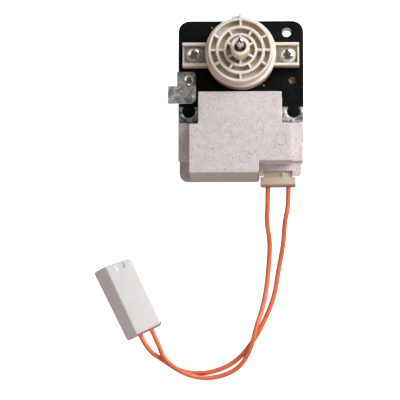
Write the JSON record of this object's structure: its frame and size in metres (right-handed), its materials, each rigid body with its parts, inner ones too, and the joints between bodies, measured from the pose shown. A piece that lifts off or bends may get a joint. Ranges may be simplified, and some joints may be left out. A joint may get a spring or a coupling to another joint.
{
  "type": "evaporator fan motor",
  "caption": "Shaded-pole C-frame fan motor with moulded bearing brackets, an encapsulated coil, a slim output shaft and a plug on two short leads.",
  "frame": {"origin": "on the shaft axis, at the flat end of the rear bearing cap, in the plane that the motor rests on", "axes": "+Z along the shaft to its output end, +Y away from the coil, +X to the side with the open mounting hole"},
  "size_m": [0.1016, 0.175, 0.067],
  "materials": {
    "stack_black": "satin black coating",
    "bare_steel": "bare steel laminations",
    "copper": "copper",
    "ivory_moulding": "ivory moulded plastic",
    "bronze": "sintered bronze",
    "felt": "oil felt",
    "spring_steel": "spring steel",
    "shaft_steel": "ground steel",
    "cage_aluminium": "die-cast aluminium",
    "spacer_brass": "turned brass",
    "washer_fibre": "pressed fibre",
    "bright_zinc": "bright zinc plate",
    "dull_zinc": "dull zinc plate",
    "rivet_brass": "dull brass",
    "bobbin_nylon": "natural nylon",
    "speckled_moulding": "pale moulding with fine dark specks",
    "tinned_metal": "tin plate",
    "beige_nylon": "beige nylon",
    "orange_insulation": "orange wire insulation",
    "white_nylon": "white nylon"
  },
  "bodies": {
    "stator": {"stator_stack": "stack_black", "yoke_stack": "bare_steel", "shading_ring_upper": "copper", "shading_ring_lower": "copper", "front_bracket": "ivory_moulding", "rear_bracket": "ivory_moulding", "front_bearing": "bronze", "rear_bearing": "bronze", "front_wick": "felt", "rear_wick": "felt", "front_retainer": "spring_steel", "rear_retainer": "spring_steel", "bracket_screws": "bright_zinc", "bracket_nuts": "bright_zinc", "ground_tab": "dull_zinc", "ground_screw": "bright_zinc", "stack_rivet": "rivet_brass", "bobbin": "bobbin_nylon", "coil_winding": "copper", "coil_housing": "speckled_moulding", "terminal_pins": "tinned_metal", "connector_housing": "beige_nylon", "connector_contacts": "tinned_metal", "lead_wire_a": "orange_insulation", "lead_wire_b": "orange_insulation", "plug_housing": "white_nylon", "plug_contacts": "tinned_metal"},
    "rotor": {"shaft": "shaft_steel", "rotor_core": "bare_steel", "rotor_cage": "cage_aluminium", "front_spacer": "spacer_brass", "rear_spacer": "spacer_brass", "thrust_washers": "washer_fibre"}
  },
  "joints": [
    {"name": "rotor_spin", "type": "hinge", "parent": "stator", "child": "rotor", "pos_m": [0, 0, 0.018], "axis": [0, 0, 1], "continuous": true}
  ]
}
